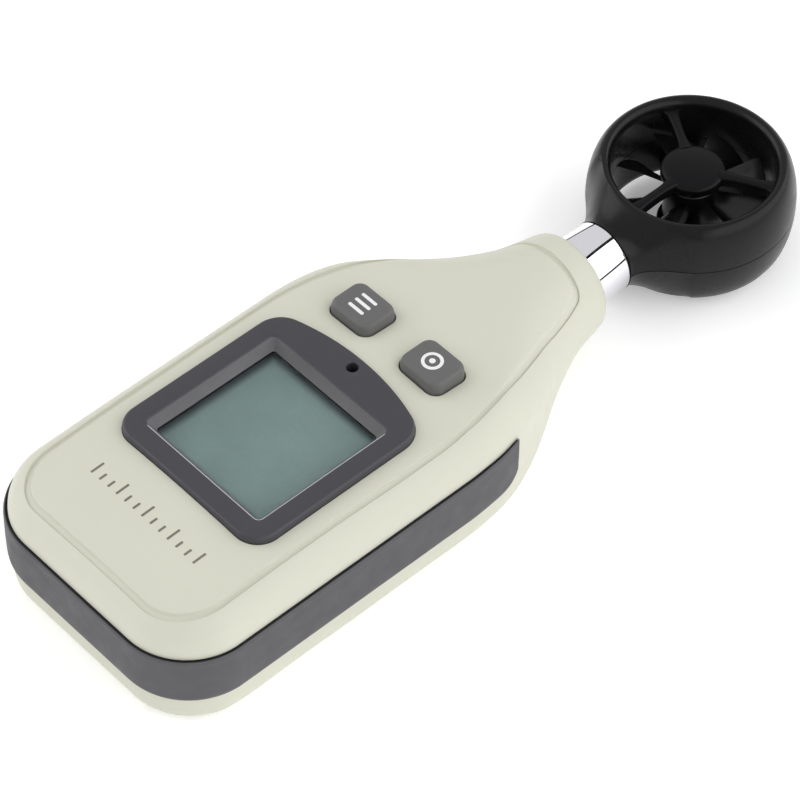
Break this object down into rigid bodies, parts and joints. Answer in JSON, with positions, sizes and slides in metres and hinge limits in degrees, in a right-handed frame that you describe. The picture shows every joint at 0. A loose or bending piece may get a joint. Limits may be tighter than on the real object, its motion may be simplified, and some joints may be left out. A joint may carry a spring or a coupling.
{
  "type": "handheld weather meter",
  "caption": "Pocket weather meter with a display case, push buttons and a swivelling ring head around a free-spinning vane impeller.",
  "frame": {"origin": "centre of the bounding box in X and Y, on the flat back of the case", "axes": "+X across the case, +Y from the case towards the vane head, +Z out of the display face"},
  "size_m": [0.04, 0.1212, 0.0205],
  "materials": {
    "shell_cream": "fine satin moulded texture, warm off-white",
    "band_grey": "matt dark grey overmould",
    "bezel_grey": "fine matt dark grey",
    "clear_lens": "clear moulded window",
    "lcd_glass": "reflective grey-green display panel",
    "white_plastic": "natural acetal",
    "black_rubber": "elastomer",
    "board_green": "solder-masked laminate",
    "black_plastic": "moulded black",
    "steel_bright": "plated steel",
    "ceramic_tan": "sintered ceramic",
    "button_grey": "soft satin grey",
    "contact_metal": "nickel-plated spring metal",
    "chrome_tube": "polished chrome plating",
    "head_black": "satin to semi-gloss black",
    "impeller_black": "satin black",
    "brass_bearing": "turned bush",
    "lead_jacket": "thin flexible jacket"
  },
  "bodies": {
    "case": {"front_shell": "shell_cream", "rear_shell": "shell_cream", "side_band": "band_grey", "display_bezel": "bezel_grey", "display_lens": "clear_lens", "lcd_panel": "lcd_glass", "lcd_holder": "white_plastic", "connector_strips": "black_rubber", "main_board": "board_green", "controller_chip": "black_plastic", "quartz_crystal": "steel_bright", "chip_capacitors": "ceramic_tan", "tact_switches": "black_plastic", "board_screws": "steel_bright", "temperature_sensor": "black_plastic", "lead_socket": "white_plastic", "coin_cell": "steel_bright", "battery_tray": "black_plastic", "negative_spring_contact": "contact_metal", "positive_contact": "contact_metal", "wave_washer": "steel_bright", "neck_bushing": "white_plastic", "case_screws": "steel_bright"},
    "door": {"battery_door": "shell_cream"},
    "mode_key": {"mode_button": "button_grey"},
    "set_key": {"set_button": "button_grey"},
    "head": {"neck_tube": "chrome_tube", "retaining_clip": "steel_bright", "head_front_shell": "head_black", "head_rear_shell": "head_black", "head_screws": "steel_bright", "front_bearing": "brass_bearing", "rear_bearing": "brass_bearing", "hall_sensor": "black_plastic", "sensor_lead": "lead_jacket"},
    "rotor": {"impeller": "impeller_black", "impeller_shaft": "steel_bright", "impeller_magnets": "steel_bright"}
  },
  "joints": [
    {"name": "head_swivel", "type": "hinge", "parent": "case", "child": "head", "pos_m": [0, 0.02, 0.0077], "axis": [0, 1, 0], "range_deg": [-90, 90]},
    {"name": "impeller_spin", "type": "hinge", "parent": "head", "child": "rotor", "pos_m": [0, 0.0467, 0.0077], "axis": [0, 0, 1], "continuous": true},
    {"name": "mode_press", "type": "slide", "parent": "case", "child": "mode_key", "axis": [0, 0, -1], "range_m": [0, 0.0006], "stiffness_N_per_m": 800, "springref_m": -0.0004},
    {"name": "set_press", "type": "slide", "parent": "case", "child": "set_key", "axis": [0, 0, -1], "range_m": [0, 0.0006], "stiffness_N_per_m": 800, "springref_m": -0.0004},
    {"name": "battery_door_slide", "type": "slide", "parent": "case", "child": "door", "axis": [0, -1, 0], "range_m": [0, 0.033]}
  ]
}
